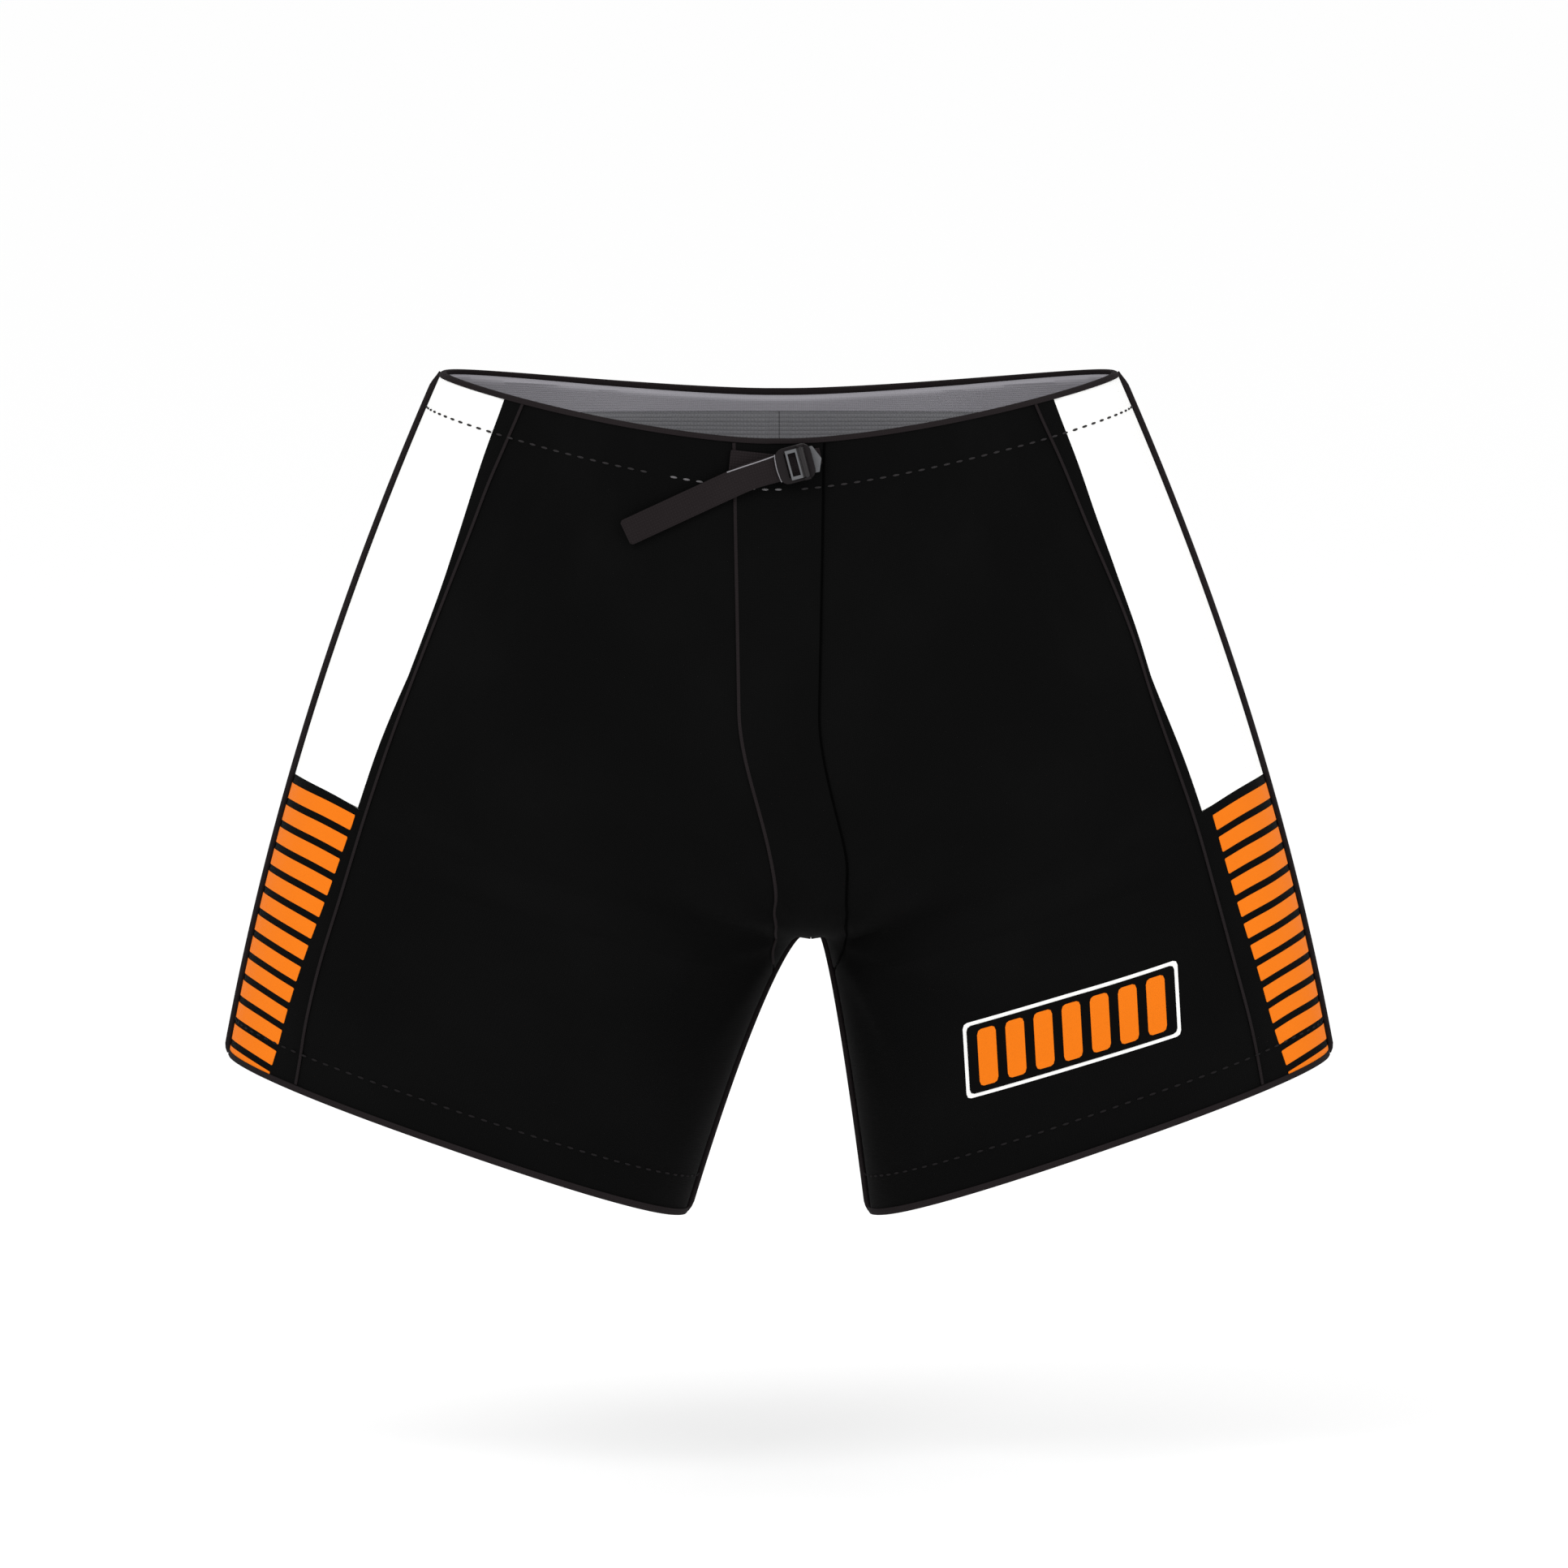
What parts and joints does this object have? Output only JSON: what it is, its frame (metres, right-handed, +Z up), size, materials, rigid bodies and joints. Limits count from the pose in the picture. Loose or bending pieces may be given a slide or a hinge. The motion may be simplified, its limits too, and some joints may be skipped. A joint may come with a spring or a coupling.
{
  "type": "padded sports shorts",
  "caption": "Padded hockey pants with a layered shell, flared legs, hip and thigh guards, a waist belt and a cam-lock buckle with a loose strap end.",
  "frame": {"origin": "middle of the waist opening, 30 mm below the waist edge at the sides", "axes": "+Z up the body, -Y out of the front, +X towards the wearer's left"},
  "size_m": [0.751, 0.2928, 0.5715],
  "materials": {
    "black_cloth": "matt woven nylon",
    "white_cloth": "matt woven nylon",
    "dark_trim": "ribbed binding tape",
    "lining": "fine mesh knit",
    "waist_facing": "brushed knit",
    "webbing": "woven webbing",
    "foam": "closed-cell foam",
    "guard": "moulded sheet",
    "buckle_dark": "satin moulded",
    "buckle_light": "satin",
    "emblem": "embroidered twill"
  },
  "bodies": {
    "garment": {"anchor_hook": "buckle_light", "anchor_tab": "webbing", "back_panel_left": "black_cloth", "back_panel_right": "black_cloth", "belt_lead": "webbing", "belt_webbing": "webbing", "buckle_body": "buckle_dark", "emblem_patch": "emblem", "facing_back": "waist_facing", "facing_front": "waist_facing", "fly_panel": "black_cloth", "front_panel_left": "black_cloth", "front_panel_right": "black_cloth", "hem_binding_left": "dark_trim", "hem_binding_right": "dark_trim", "hip_cap_left": "guard", "hip_cap_right": "guard", "hip_pad_left": "foam", "hip_pad_right": "foam", "inseam_piping_left": "dark_trim", "inseam_piping_right": "dark_trim", "kidney_pad_left": "foam", "kidney_pad_right": "foam", "lever_pin": "buckle_light", "liner_left": "lining", "liner_right": "lining", "outseam_piping_left": "dark_trim", "outseam_piping_right": "dark_trim", "side_lower_left": "black_cloth", "side_lower_right": "black_cloth", "side_upper_left": "white_cloth", "side_upper_right": "white_cloth", "spine_pad": "foam", "tailbone_pad": "foam", "thigh_cap_left": "guard", "thigh_cap_right": "guard", "thigh_pad_left": "foam", "thigh_pad_right": "foam", "waist_binding": "dark_trim"},
    "lever": {"cam_lever": "buckle_light"},
    "strap": {"strap_tail": "webbing"}
  },
  "joints": [
    {"name": "lever_hinge", "type": "hinge", "parent": "garment", "child": "lever", "pos_m": [0.01657, -0.14068, -0.02271], "axis": [-0.2588, 0, 0.9659], "range_deg": [0, 75]},
    {"name": "strap_slide", "type": "slide", "parent": "garment", "child": "strap", "axis": [-0.9647, 0.0507, -0.2585], "range_m": [0, 0.012]}
  ]
}
